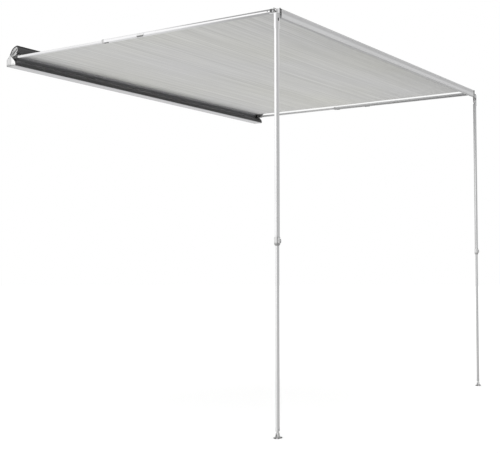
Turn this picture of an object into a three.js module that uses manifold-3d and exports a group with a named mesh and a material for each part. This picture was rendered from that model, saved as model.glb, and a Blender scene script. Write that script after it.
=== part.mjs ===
// Vehicle side awning, pulled out on its two legs.
// Millimetres, +Z up, X along the case, the cloth runs out towards -Y.
// Profiles below are drawn as (out, up): "out" is the distance from the wall, so y = -out.
import * as THREE from 'three';
import { mergeVertices } from 'three/addons/utils/BufferGeometryUtils.js';
import Module from 'manifold-3d';

const wasm = await Module();
wasm.setup();

// ---------- driving dimensions ----------
const BACK_MID = 43.5;        // the flat back's middle is this far under the profiles' zero level
const CASE_HALF = 1347;       // half length of the case extrusion
const SHELL_HALF = 1350.5;      // half length of the roller housing's shells
const CLOTH_HALF = 1294;       // half width of the cloth
const ROLLER_HALF = 1308;      // half length of the roller tube
const RAFTER_X = 1334;        // rafters and legs sit this far from the middle
const RAIL_HALF = 1298;
const RAIL_OUT = 1910.5;      // rear face of the lead rail's box
const ROLL = { out: 66, up: 20.5, tube: 17.3, wrap: 18.3 };
const PIVOT_OUT = 45;         // rafter pivot
const RAFTER = { w: 26, h: 19, wall: 2.7, iw: 20, ih: 13, iwall: 1.5, up: -12.5 };
const OUTER_START = 781;      // where the thick rafter tube begins
const OUTER_END = 1888;       // where it ends, before the tip
const LEG_OUT = 1921;         // leg plane, in line with the rail
const LEG_PIVOT_UP = -74;
const GROUND = -2112;
const LEG = { w: 28, d: 14, wall: 1.7, lw: 24, ld: 10, lwall: 1.6 };
const COLLAR_UP = -1153;      // middle of the leg collar
const CLEAR = 0.3;

// ---------- finishes ----------
const mat = (color, roughness, metalness) => () => new THREE.MeshStandardMaterial({ color, roughness, metalness });
const anthracite = mat(0x4b4b4d, 0.55, 0.3);
const silver = mat(0xc9c9ca, 0.35, 0.8);
const castGrey = mat(0xb9babb, 0.5, 0.4);
const darkPlastic = mat(0x3a3a3c, 0.6, 0.0);
const steel = mat(0xa8a8aa, 0.3, 0.9);
const capGrey = mat(0xcfcfd0, 0.5, 0.1);
const rubber = mat(0x2a2a2b, 0.85, 0.0);
const cloth = mat(0xc4c5c1, 0.9, 0.0);
const collarGrey = mat(0xd0d0d1, 0.5, 0.0);

// ---------- small solid library ----------
function toSolid(geometry) {
  const g = geometry.clone();
  g.deleteAttribute('normal');
  g.deleteAttribute('uv');
  const m = mergeVertices(g, 1e-4);
  return new wasm.Manifold(new wasm.Mesh({
    numProp: 3,
    vertProperties: new Float32Array(m.attributes.position.array),
    triVerts: new Uint32Array(m.index.array),
  }));
}
function toGeometry(solid) {
  const m = solid.getMesh();
  const g = new THREE.BufferGeometry();
  g.setAttribute('position', new THREE.BufferAttribute(new Float32Array(m.vertProperties), 3));
  g.setIndex(new THREE.BufferAttribute(new Uint32Array(m.triVerts), 1));
  const flat = g.toNonIndexed();
  flat.computeVertexNormals();
  return flat;
}
const join = (...g) => toGeometry(g.map(toSolid).reduce((a, b) => a.add(b)));
const cut = (a, ...g) => toGeometry(g.map(toSolid).reduce((x, y) => x.subtract(y), toSolid(a)));

const shapeOf = (points) => new THREE.Shape(points.map(([a, b]) => new THREE.Vector2(a, b)));
const plainExtrude = (points, depth) => new THREE.ExtrudeGeometry(shapeOf(points), { depth, bevelEnabled: false, steps: 1 });
// a straight run of one profile; the hollows are cut right through it
function run(points, depth, holes) {
  const outer = plainExtrude(points, depth);
  if (!holes.length) return outer;
  return cut(outer, ...holes.map((h) => plainExtrude(h, depth + 2).translate(0, 0, -1)));
}

// profile (out, up) run along X from x0 to x1
function alongX(points, x0, x1, holes = []) {
  const g = run(points, x1 - x0, holes);
  g.applyMatrix4(new THREE.Matrix4().set(0, 0, -1, x1, -1, 0, 0, 0, 0, 1, 0, 0, 0, 0, 0, 1));
  return g;
}
// profile (x, up) run along the outward direction from out0 to out1
function alongOut(points, out0, out1, holes = []) {
  const g = run(points, out1 - out0, holes);
  g.applyMatrix4(new THREE.Matrix4().set(1, 0, 0, 0, 0, 0, -1, -out0, 0, 1, 0, 0, 0, 0, 0, 1));
  return g;
}
// profile (x, out) run upwards from up0 to up1
function alongUp(points, up0, up1, holes = []) {
  const flip = (p) => p.map(([x, o]) => [x, -o]);
  const g = run(flip(points), up1 - up0, holes.map(flip));
  g.translate(0, 0, up0);
  return g;
}
const rect = (a0, b0, a1, b1) => [[a0, b0], [a1, b0], [a1, b1], [a0, b1]];
function softRect(a0, b0, a1, b1, r, n = 3) {
  const pts = [];
  const corner = (ca, cb, start) => {
    for (let i = 0; i <= n; i++) {
      const t = start + (i / n) * Math.PI / 2;
      pts.push([ca + r * Math.cos(t), cb + r * Math.sin(t)]);
    }
  };
  corner(a1 - r, b0 + r, -Math.PI / 2);
  corner(a1 - r, b1 - r, 0);
  corner(a0 + r, b1 - r, Math.PI / 2);
  corner(a0 + r, b0 + r, Math.PI);
  return pts;
}
function circle(a, b, r, n = 24, from = 0) {
  const pts = [];
  for (let i = 0; i < n; i++) pts.push([a + r * Math.cos(from + i / n * 2 * Math.PI), b + r * Math.sin(from + i / n * 2 * Math.PI)]);
  return pts;
}
const mirrorX = (pts) => pts.map(([x, b]) => [-x, b]);
// rounds a profile from point `from` to point `to`: the points stay, with more of them between on one smooth curve
function eased(points, from, to, n = 3) {
  const stretch = points.slice(from, to + 1).map(([a, b]) => new THREE.Vector3(a, b, 0));
  const curve = new THREE.CatmullRomCurve3(stretch, false, 'centripetal');
  const fine = curve.getPoints((stretch.length - 1) * n).map((p) => [p.x, p.y]);
  return [...points.slice(0, from), ...fine, ...points.slice(to + 1)];
}

// ---------- scene graph ----------
const awning = new THREE.Group();
awning.name = 'side_awning';
const level = new THREE.Group();       // lifts the profiles' zero so that the flat back's middle is the origin
level.position.z = BACK_MID;
awning.add(level);
const group = (parent, x = 0, y = 0, z = 0) => {
  const g = new THREE.Group();
  g.position.set(x, y, z);
  parent.add(g);
  return g;
};
const add = (parent, name, geometry, material) => {
  const m = new THREE.Mesh(geometry, material());
  m.name = name;
  parent.add(m);
  return m;
};

// ================= case =================
const caseGroup = group(level);

const bodyProfile = eased([
  [0, -62.2], [68.4, -62.2], [70.6, -59.5], [71.2, -54], [70.4, -46.5], [67.4, -39], [62, -32.6], [55.5, -28.6], [50, -27],
  [6, -27], [6, -23.5], [30.4, 2.4], [30.2, 5], [27, 5], [0, -24],
  [0, -31], [2.2, -31], [2.2, -36], [0, -36], [0, -51], [2.2, -51], [2.2, -56], [0, -56],
], 1, 8);
const beamHollow = eased([[4.5, -58.8], [66.4, -58.8], [67.8, -54], [67.1, -47.4], [64.6, -41], [60, -35.6], [54.4, -32], [49.5, -30.4], [4.5, -30.4]], 1, 7, 2);
add(caseGroup, 'case_body', alongX(bodyProfile, -CASE_HALF, CASE_HALF, [beamHollow]), anthracite);

const trimProfile = eased([[0, -65], [65.5, -65], [69, -64], [70.8, -62.5], [0, -62.5]], 1, 3);
add(caseGroup, 'underside_trim', alongX(trimProfile, -CASE_HALF, CASE_HALF), silver);

// the roller housing's shell is two extrusions that meet high at the rear
const backProfile = eased(eased([
  [27, 5.3], [29.4, 8.6], [33.2, 15.6], [38, 24.5], [45, 33.9], [53.3, 41.3],
  [55.1, 39.1], [47.2, 32.2], [40.5, 23.2], [36, 14.6], [32.5, 8.1], [30.2, 5.3],
], 6, 11), 0, 5);
add(caseGroup, 'hood_back', alongX(backProfile, -SHELL_HALF, SHELL_HALF), anthracite);
const hoodProfile = eased(eased([
  [53.56, 41.47], [63, 47], [73.5, 51], [83.5, 53.2], [90.5, 53.6], [93.4, 52.2], [94.2, 48.6],
  [91.6, 48.6], [91.1, 50.1], [89.2, 50.8], [83.4, 50.4], [74.3, 48.3], [64.3, 44.5], [55.36, 39.27],
], 7, 13), 0, 6);
add(caseGroup, 'hood_shell', alongX(hoodProfile, -SHELL_HALF, SHELL_HALF), anthracite);

const fasciaProfile = eased(eased([
  [94.4, 48.1], [98.1, 43], [100.6, 36.4], [101.4, 29.2], [100.4, 21.5], [97, 14.4], [91.4, 9.8], [84, 8.2],
  [84, 10.9], [90.4, 12.3], [94.8, 16], [97.8, 22.2], [98.7, 29.4], [98, 35.9], [95.7, 41.8], [91.8, 48.1],
], 8, 15), 0, 7);
add(caseGroup, 'front_fascia', alongX(fasciaProfile, -SHELL_HALF, SHELL_HALF), anthracite);
add(caseGroup, 'mouth_seal', alongX([[84.2, 6.9], [90.6, 8.2], [90.6, 9.1], [84.2, 7.8]], -CASE_HALF + 2, CASE_HALF - 2), rubber);

const lowerCap = eased([[3.4, -65], [63, -65], [69.4, -63.4], [71.4, -59], [71.6, -52], [69.8, -44.5], [66, -37.5], [60.5, -30.6], [50.5, -20.5], [43, -12.4], [35.5, -6.2], [30.5, 0], [27, 4.6], [0, -24], [0, -61.4], [1, -64]], 1, 12);
const upperCap = eased(eased(eased([
  [31, 5.8], [33.2, 8.6], [36.7, 15], [41.2, 22.9], [47.8, 31.6], [55.6, 38.4], [64.6, 43.8], [74.5, 47.6], [83.5, 49.7], [88.8, 50.1], [90.5, 49.3], [91, 47.6],
  [94.9, 41.4], [97.3, 35.6], [98.1, 29.6], [97.2, 22.4], [94.2, 16.6], [90, 12.9], [83.6, 11.5], [83.6, 6], [80.6, 2.2], [74, -1.8], [62, -6.4], [51, -9.4], [44, -10.9], [37.4, -6.6], [32.4, -0.4],
], 19, 26, 2), 11, 18), 0, 11);
const inlay = eased(eased([[48.4, 3.6], [52.4, -0.6], [64.4, 8.6], [77.6, 19.4], [91.4, 30.6], [88, 36.2], [73.4, 25.4], [59.2, 14.6]], 5, 7), 1, 4);
const inlayGap = eased(eased([[47.7, 3.7], [52.4, -1.3], [64.8, 8.1], [78, 18.9], [92, 30.5], [88.3, 37.1], [73, 26], [58.8, 15.1]], 5, 7), 1, 4);
const socketHole = circle(ROLL.out, ROLL.up, 9, 32);
for (const [side, s] of [['left', -1], ['right', 1]]) {
  const span = (a, b) => (s < 0 ? [-b, -a] : [a, b]);
  add(caseGroup, `lower_end_cap_${side}`, alongX(lowerCap, ...span(CASE_HALF + CLEAR, SHELL_HALF)), silver);
  const face = alongX(upperCap, ...span(1347.4, 1350));
  const recess = alongX(inlayGap, ...span(1348.7, 1352));
  // on the right the stripe stops short of the winding hole
  const lowerPart = (to) => alongX(rect(40, -14, to, 46), 1340, 1360);
  add(caseGroup, `upper_end_cap_${side}`, s > 0 ? cut(face, cut(recess, lowerPart(75.6)), alongX(socketHole, 1345, 1355)) : cut(face, recess), capGrey);
  const strip = alongX(inlay, ...span(1349, 1350.4));
  add(caseGroup, `cap_inlay_${side}`, s > 0 ? cut(strip, lowerPart(76.2)) : strip, darkPlastic);

  // roller bearing block, behind the cap
  const block = alongX([[44, 7.4], [77, 7.4], [77, 12.8], [85, 13.6], [86, 34], [80, 40], [60, 40], [47, 30], [41, 20]], ...span(1313, 1346.8));
  add(caseGroup, `roller_bearing_${side}`, cut(block, alongX(circle(ROLL.out, ROLL.up, 6.4, 20), ...span(1310, 1350))), castGrey);

  // rafter bracket: two cheeks and a post behind the pivot
  const b = group(caseGroup, s * RAFTER_X, -PIVOT_OUT, 0);
  const cheekLow = alongUp([[-12.6, -15], [12.6, -15], [12.6, 8], [8, 12.6], [-8, 12.6], [-12.6, 8]], -26.7, -23.4);
  const cheekTop = alongUp([[-12.6, -15], [12.6, -15], [12.6, 8], [8, 12.6], [-8, 12.6], [-12.6, 8]], -2.4, 0.6);
  const post = alongUp(rect(-12.6, -18, 12.6, -14), -26.7, -6.5);
  const postTop = alongUp(rect(-12.6, -15, 12.6, -12.6), -8, -1.5);
  const bracket = join(cheekLow, cheekTop, post, postTop);
  const bore = alongUp(circle(0, 0, 4.35, 20), -30, 6);
  add(b, `rafter_bracket_${side}`, cut(bracket, bore), castGrey);
  const pin = join(alongUp(circle(0, 0, 4, 20), -26.4, 2.6), alongUp(circle(0, 0, 6.4, 20), 0.95, 3.4));
  add(b, `rafter_pin_${side}`, pin, steel);
}

// ================= roller =================
const roller = group(level, 0, -ROLL.out, ROLL.up);
const N = 44;
const ring = (ro, ri, x0, x1) => alongX(circle(0, 0, ro, N), x0, x1, [circle(0, 0, ri, N)]);
add(roller, 'roller_tube', ring(ROLL.tube, 15.4, -ROLLER_HALF, ROLLER_HALF), steel);
add(roller, 'cloth_roll', ring(ROLL.wrap, 17.6, -CLOTH_HALF, CLOTH_HALF), cloth);
for (const [side, s] of [['left', -1], ['right', 1]]) {
  const span = (a, b) => (s < 0 ? [-b, -a] : [a, b]);
  const plug = join(
    alongX(circle(0, 0, 14.9, N), ...span(1286, 1309)),
    alongX(circle(0, 0, 16.8, N), ...span(1308.3, 1311.4)),
    alongX(circle(0, 0, 6, 20), ...span(1311, s > 0 ? 1349.2 : 1346)),
  );
  add(roller, `roller_plug_${side}`, s > 0 ? cut(plug, alongX(circle(0, 0, 3.6, 6), 1337, 1356)) : plug, darkPlastic);
}

// ================= cloth =================
const sheetProfile = [[61, 0.7], [1880.2, 2.0], [1880.2, 3.0], [61, 1.7]];
add(level, 'canopy_cloth', alongX(sheetProfile, -CLOTH_HALF, CLOTH_HALF), cloth);

// ================= lead rail =================
const rail = group(level);
const keder = { out: 1883, up: 2.5, ro: 4, ri: 2.9 };
const arc = (r, a0, a1, n) => {
  const p = [];
  for (let i = 0; i <= n; i++) {
    const t = (a0 + (a1 - a0) * i / n) * Math.PI / 180;
    p.push([keder.out + r * Math.cos(t), keder.up + r * Math.sin(t)]);
  }
  return p;
};
const boxFront = (o) => [
  [o, -42], [o + 15.1, -42], [o + 16.8, -41.3], [o + 17.5, -39.6],
  [o + 17.5, -35.6], [o + 16.6, -35.2], [o + 16.6, -33.8], [o + 17.5, -33.4],
  [o + 17.5, -8.4], [o + 16.1, -7.9], [o + 16.1, -5.1], [o + 17.5, -4.6],
  [o + 17.5, 1.6], [o + 16.7, 3.7], [o + 14.9, 4.5],
];
const railProfile = [
  ...boxFront(RAIL_OUT),
  ...arc(keder.ro, 30, 146, 8), ...arc(keder.ri, 146, -146, 14), ...arc(keder.ro, -146, -22, 8),
  [RAIL_OUT, 1],
];
const railHollow = rect(RAIL_OUT + 2, -40, RAIL_OUT + 14.5, 2.4);
add(rail, 'lead_rail', alongX(railProfile, -RAIL_HALF, RAIL_HALF, [railHollow]), silver);
add(rail, 'cloth_bead', alongX(circle(keder.out, keder.up, 2.3, 14), -CLOTH_HALF, CLOTH_HALF), cloth);

// the rail ends between the legs: a dark cap, then the bracket's end plate, whose tongue sits in a blind socket of the cap
const capFace = [[RAIL_OUT + 0.4, -36], [RAIL_OUT + 3, -38.4], [RAIL_OUT + 14, -38.4], [RAIL_OUT + 17.1, -35.4], [RAIL_OUT + 17.1, 1.8], [RAIL_OUT + 16.3, 3.4], [RAIL_OUT + 14.6, 4.1], [RAIL_OUT + 0.4, 4.1]];
const tongue = rect(RAIL_OUT + 5, -32, RAIL_OUT + 11.5, -6);
const tongueHole = rect(RAIL_OUT + 4.6, -32.4, RAIL_OUT + 11.9, -5.6);
for (const [side, s] of [['left', -1], ['right', 1]]) {
  const span = (a, b) => (s < 0 ? [-b, -a] : [a, b]);
  add(rail, `rail_end_cap_${side}`, cut(join(
    alongX(capFace, ...span(RAIL_HALF + CLEAR, 1315.9)),
    alongX(rect(RAIL_OUT + 2.4, -39.4, RAIL_OUT + 14.1, 2), ...span(1286, RAIL_HALF + 1)),
  ), alongX(tongueHole, ...span(1299.6, 1320))), darkPlastic);

  const b = group(rail, s * RAFTER_X, -LEG_OUT, LEG_PIVOT_UP);
  // outlines in (x towards the outside, up), relative to the leg pivot
  const out = (pts) => (s > 0 ? pts : mirrorX(pts).reverse());
  const d = LEG.d / 2;
  const up = (z) => z - LEG_PIVOT_UP;
  const r = 13.4;
  const cheek = [[r, up(-39)], [-r, up(-39)]];
  for (let i = 0; i <= 14; i++) cheek.push([-r * Math.cos(i / 14 * Math.PI), -r * Math.sin(i / 14 * Math.PI)]);
  const bracket = join(
    alongOut(out(cheek), -d, -d + 3.2),
    alongOut(out(cheek), d - 3.2, d),
    alongOut(out([[-17.6, up(-24)], [-17.6, up(-41.6)], [-r, up(-43)], [r, up(-43)], [13.9, up(-42.4)], [13.9, up(-24)]]), -d, d),
    alongOut(out([[-17.8, up(3.2)], [-17.8, up(-41.6)], [-14.6, up(-41.6)], [-14.6, up(3.2)]]), RAIL_OUT + 0.6 - LEG_OUT, d),
    alongOut(out(rect(-14, up(-27.4), 13.4, up(-24))), -33.4, -d + 1),
    alongX(tongue.map(([o, z]) => [o - LEG_OUT, z - LEG_PIVOT_UP]), ...(s > 0 ? [-34, -16] : [16, 34])),
  );
  add(b, `leg_bracket_${side}`, cut(bracket, alongOut(circle(0, 0, 4.35, 20), -20, 20)), castGrey);
  add(b, `leg_pin_${side}`, join(
    alongOut(circle(0, 0, 4, 20), -8, d + 0.4),
    alongOut(circle(0, 0, 6.4, 20), -9.8, -d - CLEAR),
  ), steel);
}

// ================= rafters =================
function rafter(side, s) {
  const g = group(level, s * RAFTER_X, -PIVOT_OUT, RAFTER.up);     // pivot axis, tube centre height
  const out0 = -PIVOT_OUT;                                           // profiles below use distances from the pivot
  const knuckle = join(
    alongUp(circle(0, 0, 12, 24), -8.8, 8.8),
    alongUp(rect(-9.6, 0, 9.6, 17), -6.3, 6.3),
    alongOut(softRect(-8.2, -4.7, 8.2, 4.7, 1), 10, 58),
  );
  add(g, `rafter_knuckle_${side}`, cut(knuckle, alongUp(circle(0, 0, 4.35, 20), -12, 12)), castGrey);
  // the sliding end of each thin tube is closed
  add(g, `rafter_inner_${side}`, cut(
    alongOut(softRect(-RAFTER.iw / 2, -RAFTER.ih / 2, RAFTER.iw / 2, RAFTER.ih / 2, 2.2), 17.4, 945 + out0),
    alongOut(softRect(-RAFTER.iw / 2 + RAFTER.iwall, -RAFTER.ih / 2 + RAFTER.iwall, RAFTER.iw / 2 - RAFTER.iwall, RAFTER.ih / 2 - RAFTER.iwall, 1), 16, 941 + out0),
  ), silver);

  const o = group(g, 0, 0, 0);
  const w = RAFTER.w / 2, h = RAFTER.h / 2;
  // thick tube: soft corners, and a shallow groove high on each side
  const skin = [
    [w - 2.4, -h], [w - 0.7, -h + 0.7], [w, -h + 2.4], [w, h - 5], [w - 0.8, h - 4.5], [w - 0.8, h - 3.3], [w, h - 2.8], [w - 0.5, h - 0.7], [w - 2, h],
    [-w + 2, h], [-w + 0.5, h - 0.7], [-w, h - 2.8], [-w + 0.8, h - 3.3], [-w + 0.8, h - 4.5], [-w, h - 5], [-w, -h + 2.4], [-w + 0.7, -h + 0.7], [-w + 2.4, -h],
  ];
  const bore = softRect(-RAFTER.iw / 2 - CLEAR, -RAFTER.ih / 2 - CLEAR, RAFTER.iw / 2 + CLEAR, RAFTER.ih / 2 + CLEAR, 1.9);
  add(o, `rafter_outer_${side}`, alongOut(skin, OUTER_START + out0, OUTER_END + out0, [bore]), silver);
  add(o, `rafter_collar_${side}`, alongOut(softRect(-14, -10.2, 14, 10.2, 3), 768 + out0, OUTER_START - CLEAR + out0, [bore]), darkPlastic);
  add(o, `rafter_tip_${side}`, join(
    alongUp([[-w, 0.3], [w, 0.3], [w, 14], [w - 1.5, 18], [w - 5, 20], [-w + 5, 20], [-w + 1.5, 18], [-w, 14]].map(([x, d]) => [x, d + OUTER_END + out0]), -h, h),
    alongOut(softRect(-9.9, -6.4, 9.9, 6.4, 1), OUTER_END - 40 + out0, OUTER_END + 2 + out0),
  ), castGrey);
  // small lever on the outer side, hinged at its inboard end
  const l = group(o, s * (w + CLEAR), 0, -1.5);
  const lever = [[s * 0.2, 2.6], [s * 0.9, 0.9], [s * 2.6, 0.2], [s * 4.3, 0.9], [s * 5, 2.6], [s * 5, 7], [s * 4.2, 20], [s * 3.6, 43], [s * 1.8, 46.5], [s * 0.2, 46]];
  const leverShape = (s > 0 ? lever : lever.slice().reverse()).map(([x, d]) => [x, d + 1026 + out0]);
  add(l, `rafter_lock_${side}`, alongUp(leverShape, -6.5, 3.5), darkPlastic);
}

// ================= legs =================
function leg(side, s) {
  const g = group(level, s * RAFTER_X, -LEG_OUT, LEG_PIVOT_UP);
  const up = (z) => z - LEG_PIVOT_UP;
  const head = join(
    alongOut(circle(0, 0, 13, 24), -3.5, 3.5),
    alongOut(rect(-11.9, -18, 11.9, 0), -3.5, 3.5),
    alongUp(softRect(-11.9, -4.9, 11.9, 4.9, 1), -41, -16),
  );
  add(g, `leg_head_${side}`, cut(head, alongOut(circle(0, 0, 4.35, 20), -12, 12)), castGrey);
  const w = LEG.w / 2, d = LEG.d / 2;
  // thick tube: soft corners and a groove down the middle of the front and back faces
  const skin = [
    [w - 2, -d], [w - 0.6, -d + 0.6], [w, -d + 2], [w, d - 2], [w - 0.6, d - 0.6], [w - 2, d],
    [-7.4, d], [-8, d - 0.8], [-9.4, d - 0.8], [-10, d], [-w + 2, d], [-w + 0.6, d - 0.6], [-w, d - 2], [-w, -d + 2], [-w + 0.6, -d + 0.6], [-w + 2, -d],
  ];
  const boreUp = softRect(-LEG.lw / 2 - CLEAR, -LEG.ld / 2 - CLEAR, LEG.lw / 2 + CLEAR, LEG.ld / 2 + CLEAR, 1.4);
  add(g, `leg_upper_${side}`, alongUp(skin, up(-1140), -18.3, [boreUp]), silver);

  const c = group(g, 0, 0, up(COLLAR_UP));
  const sleeve = alongUp(softRect(-17, -9, 17, 9, 4), -17, 18);
  add(c, `leg_collar_${side}`, cut(
    sleeve,
    alongUp(softRect(-w - CLEAR, -d - CLEAR, w + CLEAR, d + CLEAR, 2), 5.6, 30),
    alongUp(boreUp, -30, 30),
  ), collarGrey);
  const lk = group(c, 0, -9.3, 0);
  add(lk, `leg_lock_${side}`, alongX([[0, 14.9], [1.6, 15.7], [3, 14.4], [3.2, 4], [2.6, -9], [1.4, -13.4], [0, -13]], -7, 7), collarGrey);

  const low = group(g);
  const lw = LEG.lw / 2, ld = LEG.ld / 2;
  add(low, `leg_lower_${side}`, cut(
    alongUp(softRect(-lw, -ld, lw, ld, 1.8), up(GROUND + 44), up(-996)),
    alongUp(softRect(-lw + LEG.lwall, -ld + LEG.lwall, lw - LEG.lwall, ld - LEG.lwall, 0.8), up(GROUND + 40), up(-1000)),
  ), silver);
  const f = group(low, 0, 0, up(GROUND + 22));                       // foot pivot
  const stem = join(
    alongUp(softRect(-10.1, -3.1, 10.1, 3.1, 0.6), 21, 52),
    alongOut(rect(-7, 0, 7, 21.7), -3, 3),
    alongUp(rect(-11.6, -4.4, 11.6, 4.4), 19.4, 21.7),
    alongOut(circle(0, 0, 7, 20), -3, 3),
  );
  add(f, `leg_stem_${side}`, cut(stem, alongOut(circle(0, 0, 3.35, 16), -12, 12)), castGrey);

  const ft = group(f);
  const ear = [[-15, -16.5], [15, -16.5], [9, 0], [7, 5.6], [0, 9], [-7, 5.6], [-9, 0]];
  const plate = join(
    alongUp(softRect(-22, -14.5, 22, 14.5, 4), -22, -16),
    alongOut(ear, 3.4, 6.6),
    alongOut(ear, -6.6, -3.4),
  );
  const bores = [alongOut(circle(0, 0, 3.35, 16), -12, 12), alongUp(circle(-17.6, 0, 2.2, 12), -30, -10), alongUp(circle(17.6, 0, 2.2, 12), -30, -10)];
  add(ft, `foot_plate_${side}`, cut(plate, ...bores), castGrey);
  add(ft, `foot_pin_${side}`, alongOut(circle(0, 0, 3, 16), -7.4, 7.4), steel);
}

for (const [side, s] of [['left', -1], ['right', 1]]) {
  rafter(side, s);
  leg(side, s);
}

export default awning;
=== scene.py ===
import math
import random

import bmesh
import bpy
from mathutils import Matrix, Vector


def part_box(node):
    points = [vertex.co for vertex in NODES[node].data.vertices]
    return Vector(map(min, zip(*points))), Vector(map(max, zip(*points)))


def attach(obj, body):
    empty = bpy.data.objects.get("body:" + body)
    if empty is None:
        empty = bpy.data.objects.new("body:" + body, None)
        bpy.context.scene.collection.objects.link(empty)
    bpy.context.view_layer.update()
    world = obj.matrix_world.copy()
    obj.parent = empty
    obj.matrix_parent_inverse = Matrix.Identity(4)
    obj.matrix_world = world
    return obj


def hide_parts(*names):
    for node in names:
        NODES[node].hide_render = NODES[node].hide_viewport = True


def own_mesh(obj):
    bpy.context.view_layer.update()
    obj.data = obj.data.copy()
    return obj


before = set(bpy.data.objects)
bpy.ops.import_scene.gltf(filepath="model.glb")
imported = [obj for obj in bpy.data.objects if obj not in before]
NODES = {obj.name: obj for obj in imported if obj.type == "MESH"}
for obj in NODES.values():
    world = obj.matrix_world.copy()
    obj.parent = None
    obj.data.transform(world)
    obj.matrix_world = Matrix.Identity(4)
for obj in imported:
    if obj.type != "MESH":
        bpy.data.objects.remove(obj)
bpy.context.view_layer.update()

LEVEL = 0.0435                 # the profiles' zero height above the middle of the flat back


def at(x, out, up):
    """A point given in profile millimetres, in metres."""
    return Vector((x / 1000.0, -out / 1000.0, up / 1000.0 + LEVEL))


# ------------------------------------------------------------------ camera
YAW, PITCH, ROLL = math.radians(33.982), math.radians(2.796), math.radians(-0.057)
forward = Vector((math.cos(YAW) * math.cos(PITCH), math.sin(YAW) * math.cos(PITCH), math.sin(PITCH)))
right = forward.cross(Vector((0, 0, 1))).normalized()
above = right.cross(forward)
side = right * math.cos(ROLL) + above * math.sin(ROLL)
top = above * math.cos(ROLL) - right * math.sin(ROLL)
cam_data = bpy.data.cameras.new("photo_camera")
cam_data.sensor_fit = "HORIZONTAL"
cam_data.sensor_width = 36.0
cam_data.lens = 970.8 * 36.0 / 500.0
cam_data.clip_start, cam_data.clip_end = 0.1, 200.0
camera = bpy.data.objects.new("photo_camera", cam_data)
bpy.context.scene.collection.objects.link(camera)
camera.matrix_world = Matrix.Translation((-5.3483, -4.4665, -1.2721)) @ Matrix((
    (side.x, top.x, -forward.x), (side.y, top.y, -forward.y), (side.z, top.z, -forward.z))).to_4x4()
bpy.context.scene.camera = camera

# ------------------------------------------------------------------ light and floor
scene = bpy.context.scene
scene.view_settings.view_transform = "Standard"
scene.view_settings.look = "None"
scene.view_settings.exposure = 0.0
scene.view_settings.gamma = 1.0

world = bpy.data.worlds.new("studio_world")
world.use_nodes = True
world.node_tree.nodes["Background"].inputs["Color"].default_value = (1.0, 1.0, 1.0, 1.0)
world.node_tree.nodes["Background"].inputs["Strength"].default_value = 1.0
scene.world = world


def sun(name, direction, strength, angle, colour=(1.0, 1.0, 1.0)):
    light = bpy.data.lights.new(name, "SUN")
    light.energy, light.angle, light.color = strength, math.radians(angle), colour
    o = bpy.data.objects.new(name, light)
    o.rotation_mode = "QUATERNION"
    o.rotation_quaternion = Vector(direction).normalized().to_track_quat("-Z", "Y")
    scene.collection.objects.link(o)
    return o


# the main soft light comes from the left end, a little above level
sun("key_soft", (1.0, -0.16, -0.13), 2.3, 26)

FLOOR_Z = min(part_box("foot_plate_left")[0].z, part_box("foot_plate_right")[0].z) - 0.0003


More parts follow.
